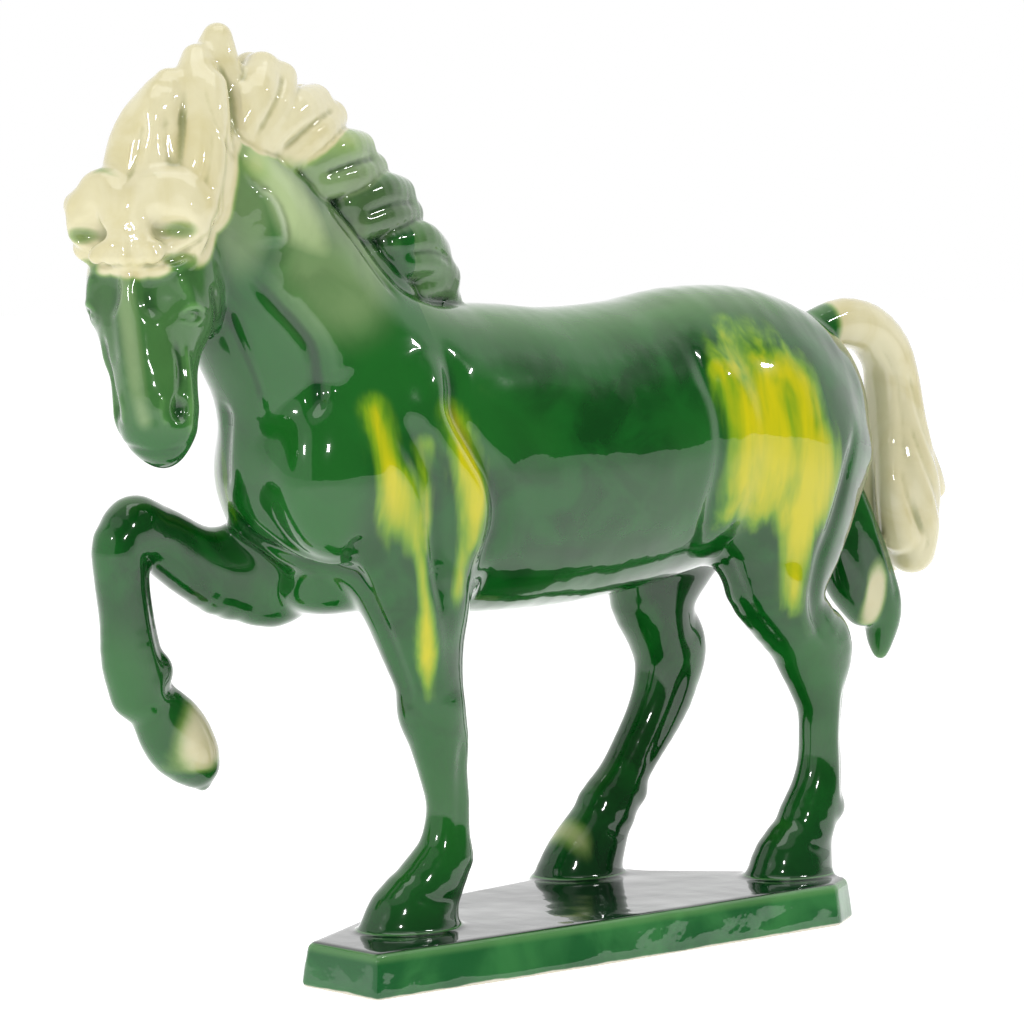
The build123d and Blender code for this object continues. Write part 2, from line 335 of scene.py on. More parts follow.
MANE_LOCKS = [
    [[(136, 2, 281, 6, 6), (129, 1, 292, 7, 7), (122, -5, 301, 6.5, 6)],
     [(131, 2, 277, 6, 6), (122, 1, 289, 7, 7), (115, -5, 298, 6.5, 6)]],
    [[(127, 2, 277, 6, 6), (113, 1, 287, 7, 7), (101, -5, 291, 6.5, 6)],
     [(119, 2, 272, 6, 6), (106, 1, 281, 7, 7), (94, -5, 286, 6, 6)]],
    [[(110, 3, 270, 5.5, 6), (95, 1, 275, 7, 7), (83, -5, 276, 6.5, 6)],
     [(105, 3, 264, 6, 6), (90, 1, 267, 7, 7), (77, -5, 269, 6, 6)]],
    [[(93, 3, 257, 6, 6), (79, 1, 261, 7, 7), (66, -5, 261, 6.5, 6)],
     [(89, 4, 251, 6, 6), (75, 1, 254, 7, 7), (62, -5, 254, 6, 6)]],
    [[(76, 4, 244, 6, 6), (62, 1, 245, 7, 7), (51, -5, 242, 6.5, 6)],
     [(71, 4, 238, 6, 6), (58, 0, 238, 6.5, 7), (46, -5, 233, 6, 6)],
     [(62, 1, 229, 5, 5), (51, -3, 230, 6, 6), (42, -8, 225, 5, 5)]],
]
# The forelock fans out from the parting between the ears down to the brow
FORELOCK = [
    [
        (*on_head(15, -3, 262), 3.5, 3),
        (*on_head(18.5, top, 253), 3.6, 3.4),
        (*on_head(20.5 - abs(low + 3) / 6, low, 241), 3.4, 3),
    ]
    for top, low in ((-7, -12), (-5, -7), (-3, -2), (-1, 3), (1, 7))
]
# centre and half sizes (along the head's left, its front and up) of each ear lobe
EAR_AXES = (HEAD_LEFT, HEAD_FRONT, (0, 0, 1))
LEFT_EAR = on_head(11, 12.5, 254), (10.5, 8, 14.5)
RIGHT_EAR = on_head(11, -16, 252), (10, 8, 14)
BROW_ROLL = [
    (*on_head(12, -22, 257), 5, 5), (*on_head(16, -12, 259), 6, 5.5), (*on_head(17.5, -3, 257), 5, 5),
    (*on_head(16, 7, 259), 6, 5.5), (*on_head(11, 19, 257), 5, 5),
]
PLINTH_OUTLINE = [
    (116, 6), (112, 42), (20, 44), (-98, 43), (-113, 34), (-116, 17), (-68, -27), (-58, -47),
    (-28, -50), (-18, -40), (52, -29),
]


def polygon_distance(x, y, outline):
    """Signed distance to a closed outline in the XY plane, negative inside."""
    shape = np.broadcast(x, y).shape
    best = np.full(shape, 1e9, np.float32)
    inside = np.zeros(shape, bool)
    for (ax, ay), (bx, by) in zip(outline, outline[1:] + outline[:1]):
        ex, ey = bx - ax, by - ay
        px, py = x - ax, y - ay
        t = np.clip((px * ex + py * ey) / (ex * ex + ey * ey), 0, 1)
        best = np.minimum(best, (px - t * ex) ** 2 + (py - t * ey) ** 2)
        crosses = (ay > y) != (by > y)
        inside ^= crosses & (px < ex * (y - ay) / (ey if ey else 1e-9))
    return np.where(inside, -1, 1) * np.sqrt(best)


def add_plinth(clay):
    """A slab with drafted sides and a rounded upper edge."""
    draft = 0.14
    edge = 2.0
    at, x, y, z = clay.block((-130, -60, -3), (125, 55, PLINTH_TOP + 4))
    outline = polygon_distance(x[:, :, 0], y[:, :, 0], PLINTH_OUTLINE)[:, :, None]
    side = outline + draft * z + edge
    top = z - PLINTH_TOP + edge
    rounded = np.sqrt(np.maximum(side, 0) ** 2 + np.maximum(top, 0) ** 2)
    outer = rounded + np.minimum(np.maximum(side, top), 0)
    slab = np.maximum(outer - edge, -z).astype(np.float32)
    clay.d[at] = np.maximum(smooth_min(clay.d[at], slab, 3), -z)


def mirrored(stations, plane=CREST_Y):
    """The same strand down the other side of the crest."""
    return [(x, 2 * plane - y, z, *rest) for x, y, z, *rest in stations]


def add_ear(clay, ear, side):
    """A cupped lobe with a thick rolled top and two ribs under its hollow."""
    clay.lump(*ear, 1.5, EAR_AXES)
    out = 12.5 * side - 2

    def at(front, left, z):
        return on_head(front, out + left * side, z)

    clay.lump(at(15, -3, 264), (8, 6, 5), 3, EAR_AXES)
    clay.lump(at(19.5, 3 + side, 248.5 + side), (8, 5, 4), 3.5, EAR_AXES, carve=True)
    clay.stroke(
        [at(20, 6, 262), at(17, 9, 254), at(17, 7, 246), at(19, -2, 244), at(20, -8, 243)], -1.0, 2.2, 2
    )
    clay.stroke([at(10, 12, 247), at(14, 8, 243), at(17, 2, 240), at(19, -8, 239)], 1.8, 1.4, 2)
    clay.stroke([at(9, 12, 244), at(12, 8, 239.5), at(15, 2, 237), at(18, -8, 236)], -1.0, 1.4, 2)


def add_face(clay):
    """Brows, eyes, cheeks, nostrils and lips, the same on both sides of the nose."""
    clay.stroke(
        [on_head(19, -4, 238), on_head(18, -2, 222), on_head(17, 0, 204), on_head(14, 3, 190)], -1.2, 6
    )
    for side in (1, -1):

        def at(front, left, z, side=side):
            return on_head(front, left * side - 1.5 + (225 - z) * 0.08, z)

        clay.lump(at(-5, 13.5, 229), (7.5, 14, 15), 5, EAR_AXES)
        clay.lump(at(18, 10, 231), (6, 4, 7), 5, EAR_AXES, carve=True)
        clay.stroke([at(14, 15, 236), at(11, 18, 228), at(8, 19, 220)], -1.2, 2.6)
        clay.lump(at(9, 18.5, 222.5), (2.6, 3.4, 2.0), 0.6, EAR_AXES, carve=True)
        clay.lump(at(7.5, 16, 222.5), (2, 2.6, 1.6), 0.3, EAR_AXES)
        clay.stroke([at(13, 15, 223), at(9, 18, 226), at(3, 20, 223)], -0.8, 1.1, 2)
        clay.stroke([at(13, 15, 221), at(9, 18, 219), at(3, 20, 221)], -0.6, 1.0, 2)
        clay.stroke([at(18, 8, 232), at(16, 8.5, 218), at(14, 9, 206)], 0.7, 3)
        clay.stroke([at(13, 13, 216), at(9, 13.5, 209), at(8, 11, 199), at(9, 9, 190)], 1.6, 1.8)
        clay.stroke([at(8, 14, 213), at(5, 14.5, 203), at(5, 14, 193), at(4, 12, 184)], -1.2, 1.6)
        clay.lump(at(9, 11.5, 193.5), (2.6, 3.4, 4.6), 1.5, EAR_AXES, carve=True)
        clay.stroke([at(12.5, 7, 198), at(12.8, 6.5, 192), at(11.5, 8, 188)], -0.7, 1.3, 2)
        clay.stroke([at(2, 18, 232), at(-6, 17, 222), at(-12, 12, 214)], 1.2, 2.2)
    clay.stroke(
        [on_head(2, -10, 181), on_head(10, -4, 179), on_head(10, 8, 179), on_head(2, 14, 181)], 0.8, 1.2
    )


def add_neck_muscles(clay):
    for points, depth, width in (
        ([(142, 4, 285), (129, 6, 279), (116, 6, 272), (100, 5, 261), (91, 8, 250), (85, 11, 240),
          (78, 11, 232), (64, 6, 225), (44, -2, 221)], 1.3, 2.4),
        ([(104, 9, 256), (95, 12, 246), (88, 14, 236), (80, 15, 226)], 0.8, 1.4),
        ([(141, 11, 268), (134, 14, 264), (129, 15, 259), (126, 16, 251), (126, 17, 243)], 1.1, 2.6),
        ([(136, 12, 261), (132, 15, 253), (131, 16, 244)], -1.5, 5),
        ([(147, 7, 226), (139, 5, 213), (133, 5, 201), (130, 5, 190)], 1.4, 2.0),
        ([(140, 14, 235), (131, 15, 226), (124, 17, 219), (118, 17, 212), (116, 18, 200),
          (117, 16, 188)], 2.2, 2.6),
        ([(128, 15, 232), (119, 18, 222), (111, 20, 212), (108, 20, 198)], -1.8, 5),
    ):
        clay.stroke(points, depth, width)


def add_shoulder(clay):
    """The left shoulder stands proud of the flank, with a ridge running down into the leg."""
    edge = [(68, 21, 210), (68, 26, 200), (70, 30, 190), (63, 33, 177), (56, 33, 166), (52, 32, 154),
            (52, 30, 144), (56, 27, 137)]
    clay.stroke([(x + 8, y + 2, z) for x, y, z in edge], -3.0, 7)
    clay.stroke([(x - 2, y + 0.5, z) for x, y, z in edge], 3.2, 4.0)
    clay.stroke(
        [(98, 24, 189), (94, 27, 177), (89, 29, 168), (85, 30, 157), (83, 30, 143), (80, 29, 129),
         (76, 26, 117), (71, 22, 100)], -2.2, 3.2
    )
    clay.stroke(
        [(88, 28, 190), (83, 31, 177), (77, 32, 166), (75, 32, 152), (74, 30, 136), (71, 26, 120)], 1.8, 4
    )
    clay.stroke([(103, 15, 149), (101, 14, 140), (93, 16, 124), (81, 16, 101), (74, 14, 82)], 1.8, 2.4)
    clay.lump((106, 12, 168), (20, 15, 26), 10)


def add_chest(clay):
    """Folds where the breast overhangs the raised foreleg, and the far shoulder beyond."""
    clay.lump((112, -22, 168), (12, 17, 20), 8)
    clay.stroke(
        [(128, -18, 156), (122, -16, 148), (117, -8, 142), (108, 0, 138), (98, 10, 136),
         (90, 14, 132)], 3.4, 3.2
    )
    clay.stroke([(125, -8, 158), (119, -2, 151), (110, 4, 146), (102, 12, 143)], -1.4, 3)
    clay.stroke([(136, -10, 192), (133, -15, 178), (130, -19, 164)], 1.8, 2.6)
    clay.stroke([(104, 17, 153), (103, 16, 146), (100, 15, 139)], 1.6, 2.6)


def add_haunch(clay):
    """The thigh stands proud of the flank and folds in behind the buttock."""
    clay.lump((-89, 13, 170), (31, 20, 35), 14)
    fold = [(-46, 22, 208), (-47, 28, 198), (-50, 31, 188), (-51, 33, 176), (-50, 32, 163), (-49, 27, 148),
            (-53, 20, 137)]
    clay.stroke([(x - 9, y + 1, z) for x, y, z in fold], -2.2, 7)
    clay.stroke(fold, 1.8, 4)
    clay.stroke(
        [(-116, 28, 176), (-110, 31, 161), (-103, 32, 142), (-97, 33, 128), (-96, 31, 116),
         (-101, 28, 107), (-108, 26, 98)], 1.8, 2.6
    )
    clay.stroke([(-66, 14, 132), (-78, 18, 113), (-92, 20, 96)], 1.4, 2.2)
    clay.stroke([(-84, 30, 128), (-90, 32, 112), (-97, 30, 100)], -1.4, 3)


def add_leg_details(clay):
    """Elbow, knees, hocks, tendons, fetlocks and coronets."""
    clay.lump((98, -31, 122), (9, 7, 6), 9)
    clay.lump((90, -14, 128), (14, 12, 8), 9)
    clay.lump((154, -36, 152), (7, 8, 7), 4)
    clay.lump((66, 12, 88), (10, 9, 10), 5)
    for x, y, z in ((62, 12, 38), (-112, 15, 38), (-59, -34, 43)):
        clay.lump((x - 5, y, z), (7, 7.5, 6), 3)
        turns = (1.9, 1.2, 0.4, -0.4, -1.2, -1.9)
        ring = [(x + 12 * math.cos(a), y + 12 * math.sin(a), z - 13) for a in turns]
        clay.stroke(ring, 1.1, 1.8, 3)
    for x, y, z, up in ((64, 21, 80, -40), (-115, 23, 84, -44)):
        clay.stroke([(x - 5, y, z), (x - 6, y, z + up / 2), (x - 5, y, z + up)], 1.3, 2.2)
    clay.stroke([(-84, -24, 88), (-76, -24, 70), (-66, -24, 52)], 1.2, 2.2)
    clay.lump((-119, 14, 97), (7, 8, 12), 7)
    clay.lump((-91, -34, 95), (7, 8, 12), 7)
    clay.lump((143, -36, 104), (4.5, 6, 5), 4)
    clay.stroke([(150, -27, 138), (147, -26, 124), (144, -27, 108)], 1.2, 2.2)
    clay.stroke([(146, -28, 97), (139, -28, 98), (137, -33, 100)], 1.6, 1.8)


def add_tail(clay):
    clay.member(TAIL, 3)
    clay.bundle([*TAIL_STRANDS, *(mirrored(s, BODY_Y) for s in TAIL_STRANDS)], 1.2, 3)
    clay.bundle(TAIL_INNER_STRANDS, 2.5, 2)
    clay.stroke([(-160, -3, 206), (-168, -1, 194), (-171, 0, 178), (-170, 3, 160)], 1.0, 2.0)
    clay.stroke([(-174, -2, 196), (-178, 0, 182), (-182, 1, 168), (-189, 0, 156)], 1.2, 1.8)
    clay.stroke([(-174, 0, 176), (-178, 4, 160), (-183, 4, 148), (-186, 4, 138)], 1.4, 1.8)
    clay.stroke(
        [(-168, 0, 160), (-170, 5, 148), (-175, 6, 138), (-180, 6, 130), (-176, 6, 124)], 1.6, 1.8, 3
    )
    clay.stroke([(-157, 0, 140), (-163, 3, 124), (-167, 2, 108)], 1.2, 1.8)


def add_mane(clay):
    clay.member(CREST, 3)
    for lock in MANE_LOCKS:
        clay.bundle(lock, 3, 1.0)
        clay.bundle([mirrored(strand) for strand in lock], 3, 1.0)
        middle = (np.array(lock[0]) + np.array(lock[1]))[:, :3] / 2
        clay.stroke(middle + (0, 7, 0), 1.0, 1.6, 3)
    clay.bundle(PLUME, 3, 4, HEAD_LEFT)
    for stations in PLUME:
        for shift in (-4, 3):
            line = [(x + shift, y + 7 + shift / 2, z) for x, y, z, *_ in stations[:3]]
            clay.stroke(line, 0.6, 1.6, 3)
    clay.stroke([(163, -2, 297), (165, -1, 288), (164, 1, 280)], 1.0, 3.5, 3)
    clay.bundle(FORELOCK, 1.2, 2.5, HEAD_LEFT)
    clay.member(BROW_ROLL, 5, (0, 0, 1), 3)
    add_ear(clay, LEFT_EAR, 1)
    add_ear(clay, RIGHT_EAR, -1)


def sculpt(clay):
    clay.member(TORSO, 0, step=8)
    clay.member(NECK, 12)
    clay.member(SKULL, 5, across=HEAD_LEFT)
    for limb, blend in (
        (LEFT_FORELEG, 8), (LEFT_FORE_HOOF, 2), (RIGHT_FOREARM, 7), (RIGHT_CANNON, 3),
        (RIGHT_FORE_HOOF, 3), (LEFT_HIND_LEG, 8), (LEFT_HIND_HOOF, 2), (RIGHT_HIND_LEG, 8),
        (RIGHT_HIND_HOOF, 2),
    ):
        clay.member(limb, blend)
    add_shoulder(clay)
    add_chest(clay)
    add_haunch(clay)
    add_neck_muscles(clay)
    add_leg_details(clay)
    add_tail(clay)
    add_face(clay)
    add_mane(clay)
    add_plinth(clay)


def member_distance(points, stations, across=ACROSS):
    """Distance from each point to a member's own shape."""
    line = spline(stations, 5.0)
    x, y, z = points[:, :3].T
    best = np.full(len(points), FAR)
    for start, end in zip(line, line[1:]):
        reach = np.linalg.norm(end[:3] - start[:3]) / 2 + max(*start[3:5], *end[3:5]) + FAR * 0.5
        near = np.flatnonzero((np.abs(points[:, :3] - (start + end)[:3] / 2) < reach).all(1))
        if len(near):
            d = cone_distance(x[near], y[near], z[near], start, end, across)
            best[near] = np.minimum(best[near], d)
    return best


def lump_distance(points, centre, radii, axes):
    """Rough distance from each point to an ellipsoid."""
    local = (points[:, :3] - np.asarray(centre)) @ np.array([unit(a) for a in axes]).T
    return ellipsoid_distance(*local.T, radii)


def height_over(points, place, normal):
    """Distance from a plane at place, above 0 on the side that its normal points to."""
    return (points - np.asarray(place, float)) @ unit(normal)


def inside_all(*distances):
    return np.maximum.reduce(distances)


def hair_distance(points, strands, plane=None, across=ACROSS):
    """Distance to the nearest of some strands, and of their mirror images if a plane is given."""
    if plane is not None:
        strands = [*strands, *(mirrored(s, plane) for s in strands)]
    return np.minimum.reduce([member_distance(points, s, across) for s in strands])


# --- Luting surfaces: each function is negative on its own piece's side ---
NECK_SEAM = (88, -10, 206), (-0.44, 0, -0.9)  # place, and the way out of the neck into the torso
# Cut off the body one after another; the torso is what is left
LOWER_SECTIONS = {
    "plinth": lambda p: p[:, 2] - (PLINTH_TOP + 0.9),
    "right_forefoot": lambda p: inside_all(
        -height_over(p, (146, -36, 143), (0.75, 0, -0.66)), 118 - p[:, 0], p[:, 2] - 166
    ),
    "right_forearm": lambda p: inside_all(
        p[:, 2] - 157 - 0.55 * (p[:, 0] - 128), 76 - p[:, 0], p[:, 1] + 17, 100 - p[:, 2]
    ),
    "left_foreleg": lambda p: inside_all(p[:, 2] - 128, -9 - p[:, 1], 30 - p[:, 0]),
    "tail_inner_lock": lambda p: inside_all(
        hair_distance(p, TAIL_INNER_STRANDS) - 2,
        hair_distance(p, TAIL_INNER_STRANDS) - hair_distance(p, [TAIL, *TAIL_STRANDS], BODY_Y),
    ),
    "left_hind_leg": lambda p: inside_all(p[:, 2] - 131, -9 - p[:, 1], p[:, 0] + 66),
    "right_hind_leg": lambda p: inside_all(p[:, 2] - 128, p[:, 1] + 12, p[:, 0] + 20),
    "tail": lambda p: inside_all(hair_distance(p, [TAIL, *TAIL_STRANDS], BODY_Y) - 6, p[:, 0] + 131),
}
# Each upper piece takes the surface that its own shape is nearest to
UPPER_SHAPES = {
    "left_ear": lambda p: lump_distance(p, *LEFT_EAR, EAR_AXES) - 0.5,
    "right_ear": lambda p: lump_distance(p, *RIGHT_EAR, EAR_AXES) - 0.5,
    "forelock": lambda p: hair_distance(p, FORELOCK, None, HEAD_LEFT),
    "plume": lambda p: hair_distance(p, PLUME, None, HEAD_LEFT),
    **{
        f"mane_lock_{i + 1}": lambda p, lock=lock: hair_distance(p, lock, CREST_Y)
        for i, lock in enumerate(MANE_LOCKS)
    },
    "head": lambda p: member_distance(p, SKULL, HEAD_LEFT),
    "neck": lambda p: member_distance(p, NECK) + 1.0,
}


def hollowness(clay, points, reach):
    """How far the surface bends in at each point: above 0 in a groove, below 0 on a ridge."""
    around = np.array([(a, b, c) for a in (-1, 1) for b in (-1, 1) for c in (-1, 1)]) / math.sqrt(3)
    mean = sum(clay.value(points + reach * v) for v in around) / len(around)
    return -(mean - clay.value(points)) / reach


def skin(clay):
    """Triangles of the surface where the field is 0: (points in mm, corner indices), facing out."""
    grid = openvdb.FloatGrid(FAR)
    grid.copyFromArray(clay.d)
    points, tris, quads = grid.convertToPolygons(isovalue=0.0, adaptivity=0.0)
    points = np.asarray(points, float) * clay.step + clay.low
    quads = np.asarray(quads, int).reshape(-1, 4)
    tris = np.asarray(tris, int).reshape(-1, 3)
    tris = np.concatenate([tris, quads[:, [0, 1, 2]], quads[:, [0, 2, 3]]])
    a, b, c = (points[tris[:, i]] for i in range(3))
    if np.einsum("ij,ij->i", np.cross(b - a, c - a), a - points.mean(0)).sum() < 0:
        tris = tris[:, ::-1]
    return points, tris


def divide(points, tris, side):
    """Cuts triangles where side crosses 0, and returns (points, the ones below 0, the ones above)."""
    low = side < 0
    count = low[tris].sum(1)
    mixed = tris[(count == 1) | (count == 2)]
    below, above = [tris[count == 3]], [tris[count == 0]]
    if len(mixed):
        lows = low[mixed]
        lone = np.where(lows.sum(1) == 1, lows.argmax(1), (~lows).argmax(1))
        turned = np.stack([mixed[np.arange(len(mixed)), (lone + k) % 3] for k in range(3)], 1)
        edges = np.concatenate([turned[:, [0, 1]], turned[:, [0, 2]]])
        keys, back = np.unique(np.sort(edges, 1), axis=0, return_inverse=True)
        back = back.ravel()
        s0, s1 = side[keys[:, 0]], side[keys[:, 1]]
        t = np.clip(s0 / (s0 - s1), 0.02, 0.98)[:, None]
        new = points[keys[:, 0]] * (1 - t) + points[keys[:, 1]] * t
        ab = len(points) + back[: len(turned)]
        ac = len(points) + back[len(turned) :]
        points = np.concatenate([points, new])
        a, b, c = turned.T
        tip = np.stack([a, ab, ac], 1)
        rest = np.concatenate([np.stack([ab, b, c], 1), np.stack([ab, c, ac], 1)])
        tip_low = low[a]
        rest_low = ~np.concatenate([tip_low, tip_low])
        below += [tip[tip_low], rest[rest_low]]
        above += [tip[~tip_low], rest[~rest_low]]
    return points, np.concatenate(below), np.concatenate(above)


def capped(clay, points, tris):
    """Closes each open rim inside the clay: a short wall inwards, then a fan to its middle."""
    edges = np.concatenate([tris[:, [0, 1]], tris[:, [1, 2]], tris[:, [2, 0]]])
    keys = np.sort(edges, 1)
    _, back, count = np.unique(keys, axis=0, return_inverse=True, return_counts=True)
    rim = edges[count[back.ravel()] == 1]
    after = dict(zip(rim[:, 0].tolist(), rim[:, 1].tolist()))
    caps = []
    added = []
    while after:
        start, at = after.popitem()
        loop = [start]
        while at != start and at in after:
            loop.append(at)
            at = after.pop(at)
        if len(loop) < 12:
            continue
        out = clay.slope(points[loop], 1.5)
        ring = points[loop] - CAP_INSET * out / np.maximum(np.linalg.norm(out, axis=1), 1e-6)[:, None]
        middle = ring.mean(0)
        spokes = [ring * (1 - t) + middle * t for t in (0, 0.1, 0.2, 0.4, 0.6, 0.8, 1.0)]
        if clay.value(np.concatenate(spokes)).max() > -0.1:
            continue
        first = len(points) + len(added)
        hub = first + len(loop)
        added += [*ring, middle]
        for i, a in enumerate(loop):
            j = (i + 1) % len(loop)
            caps += [(loop[j], a, first + i), (loop[j], first + i, first + j), (first + j, first + i, hub)]
    if caps:
        points = np.concatenate([points, added])
        tris = np.concatenate([tris, np.array(caps)])
    return points, tris


def make_piece(name, clay, points, tris, glaze):
    """A closed mesh in metres with the clay's own smooth normals and its glaze attributes."""
    used, tris = np.unique(tris, return_inverse=True)
    tris = tris.reshape(-1, 3)
    points = points[used]
    surface = len(points)
    points, tris = capped(clay, points, tris)
    mesh = bpy.data.meshes.new(name)
    mesh.vertices.add(len(points))
    mesh.vertices.foreach_set("co", (points * MM).astype(np.float32).ravel())
    mesh.loops.add(len(tris) * 3)
    mesh.loops.foreach_set("vertex_index", tris.astype(np.int32).ravel())
    mesh.polygons.add(len(tris))
    mesh.polygons.foreach_set("loop_start", np.arange(0, len(tris) * 3, 3, dtype=np.int32))
    mesh.update(calc_edges=True)
    normals = clay.slope(points, clay.step)
    normals /= np.maximum(np.linalg.norm(normals, axis=1), 1e-6)[:, None]
    normals[surface:] = (0, 0, 1)
    for label, values in glaze_values(clay, points, normals).items():
        layer = mesh.attributes.new(label, "FLOAT", "POINT")
        layer.data.foreach_set("value", np.clip(values, 0, 1).astype(np.float32))
    mesh.polygons.foreach_set("use_smooth", np.ones(len(tris), bool))
    mesh.normals_split_custom_set_from_vertices(normals)
    piece = bpy.data.objects.new(name + "_glazed", mesh)
    bpy.context.scene.collection.objects.link(piece)
    piece.data.materials.append(glaze)
    return piece


def soft_step(low, high, value):
    t = np.clip((value - low) / (high - low), 0, 1)
    return t * t * (3 - 2 * t)


def blob(points, centre, radii):
    """1 at the middle of an ellipsoid, fading to 0 at its edge."""
    r = np.linalg.norm((points - np.asarray(centre)) / np.asarray(radii), axis=1)
    return 1 - soft_step(0.4, 1.1, r)


def run_of_glaze(points, stations):
    """1 along the middle of a run (x, y, z, radius), fading to 0 beyond its edge."""
    reach = 0.9 * max(s[3] for s in stations)
    return 1 - soft_step(-reach, reach, member_distance(points, [(*s, s[3]) for s in stations]))


# Where yellow glaze ran: over the haunch, and down the shoulder into the foreleg
YELLOW_RUNS = [
    [(98, 24, 190, 3), (95, 26, 174, 5), (88, 28, 160, 9), (85, 29, 146, 5)],
    [(83, 31, 178, 4), (81, 32, 166, 4)],
    [(84, 29, 146, 2.5), (81, 29, 128, 2.5), (77, 25, 108, 3.5), (74, 23, 94, 2)],
    [(70, 29, 188, 4), (64, 34, 174, 8), (61, 34, 158, 8), (63, 31, 143, 5), (66, 27, 130, 3)],
    [(-87, 34, 146, 9), (-85, 33, 130, 5), (-85, 30, 115, 2)],
    [(-57, 28, 198, 6), (-59, 31, 180, 8), (-58, 31, 164, 8), (-55, 28, 149, 5)],
]


def glaze_values(clay, points, normals):
    """Where each glaze lies, from 0 to 1, at each point. Some of it is painted light: the pale mask
    lightens the top of the back as a painted sheen, and painted shade thins the cream in the ear hollows.
    """
    x, y, z = points.T
    hollow = hollowness(clay, points, 1.6)
    wide_hollow = hollowness(clay, points, 5.0)
    crown = hair_distance(points, [*PLUME, *FORELOCK, BROW_ROLL], None, HEAD_LEFT)
    for ear in (LEFT_EAR, RIGHT_EAR):
        crown = np.minimum(crown, lump_distance(points, *ear, EAR_AXES))
    mane = hair_distance(points, [s for lock in MANE_LOCKS[:2] for s in lock], CREST_Y)
    third = hair_distance(points, MANE_LOCKS[2], CREST_Y)
    fourth = hair_distance(points, MANE_LOCKS[3], CREST_Y)
    tail = hair_distance(points, [TAIL, *TAIL_STRANDS], BODY_Y)
    inner = hair_distance(points, TAIL_INNER_STRANDS)
    cream = np.maximum.reduce([
        1 - soft_step(1.5, 6, crown),
        (1 - soft_step(0.5, 4, mane)) * soft_step(262, 278, z),
        0.45 * (1 - soft_step(0.5, 3, third)) * soft_step(268, 280, z),
        (1 - soft_step(1, 4, tail)) * soft_step(-136, -144, x) * (inner > tail),
        0.8 * blob(points, (-156, 2, 110), (6, 12, 20)),
        blob(points, (162, -6, 267), (26, 30, 19)),
        0.4 * blob(points, (136, 4, 274), (12, 20, 14)),
        0.9 * blob(points, (132, -34, 80), (15, 20, 17)) * (y < -20) * soft_step(66, 71, z),
        0.6 * blob(points, (-36, -34, 26), (8, 14, 12)) * (y < -20),
    ])
    # painted shade in each ear's hollow and just under it: the cream is thinned so the dark green shows,
    # partly the green glaze there and partly the recess's shade
    for left, low in ((14.5, 249.5), (-19, 247.5)):
        cream *= 1 - 0.5 * blob(points, on_head(18, left, low), (8.5, 9, 4.2))
        cream *= 1 - 0.5 * blob(points, on_head(14, left, low - 9.5), (9, 9, 3.5))
    both = np.stack([x, BODY_Y + np.abs(y - BODY_Y), z], 1)  # the right side runs like the left
    yellow = np.maximum.reduce([
        blob(both, (-76, 32, 182), (27, 26, 38)),
        blob(both, (-86, 33, 162), (23, 26, 32)),
        0.5 * blob(both, (-70, 24, 204), (24, 22, 22)),
        0.9 * blob(both, (-70, 32, 160), (22, 26, 24)),
        *(run_of_glaze(both, run) for run in YELLOW_RUNS),
        0.45 * blob(points, (128, -24, 168), (12, 10, 26)),
    ])
    head = 1 - soft_step(0, 6, member_distance(points, SKULL, HEAD_LEFT))
    down_nose = [(*on_head(19, -4, 238), 4), (*on_head(18, -1, 212), 4), (*on_head(14, 2, 190), 3)]
    nose = run_of_glaze(points, down_nose)
    beside_crest = [(132, 9, 272, 7), (124, 12, 259, 10), (116, 14, 245, 9), (106, 16, 235, 4)]
    pale = np.maximum.reduce([
        0.9 * run_of_glaze(points, beside_crest) * soft_step(226, 254, z),
        0.45 * (1 - soft_step(0.5, 4, third)),
        0.25 * (1 - soft_step(0.5, 4, fourth)),
        0.4 * blob(points, (106, 16, 238), (34, 24, 34)),
        0.35 * blob(points, (142, 10, 254), (16, 16, 26)),
        0.2 * head * soft_step(176, 196, z),
        0.45 * nose,
        # painted sheen: the top of the back is lightened, standing in for the reflection of the light
        # overhead
        0.25 * soft_step(206, 228, z) * (x < 70),
    ])
    deep = np.maximum(0.6 - 0.6 * soft_step(14, 60, z), 0.8 * (1 - soft_step(172, 182, z)) * head)
    return {
        "groove": hollow * 1.6,
        "ridge": -hollow * 1.6,
        "wide_groove": wide_hollow * 1.5,
        "wide_ridge": -wide_hollow * 1.5,
        "cream": cream,
        "yellow": yellow,
        "pale": pale,
        "deep": deep,
        # how far each point faces up; the horse glaze lightens upward faces with it as a painted sheen
        "up": normals[:, 2],
    }


# --- Glazes ---
def srgb(r, g, b):
    """A linear colour from 8-bit sRGB numbers."""
    shares = [c / 255 for c in (r, g, b)]
    return tuple(c / 12.92 if c <= 0.04045 else ((c + 0.055) / 1.055) ** 2.4 for c in shares) + (1,)


def fill(node, values):
    """Sets a node's inputs by name."""
    for key, value in values.items():
        node.inputs[key].default_value = value


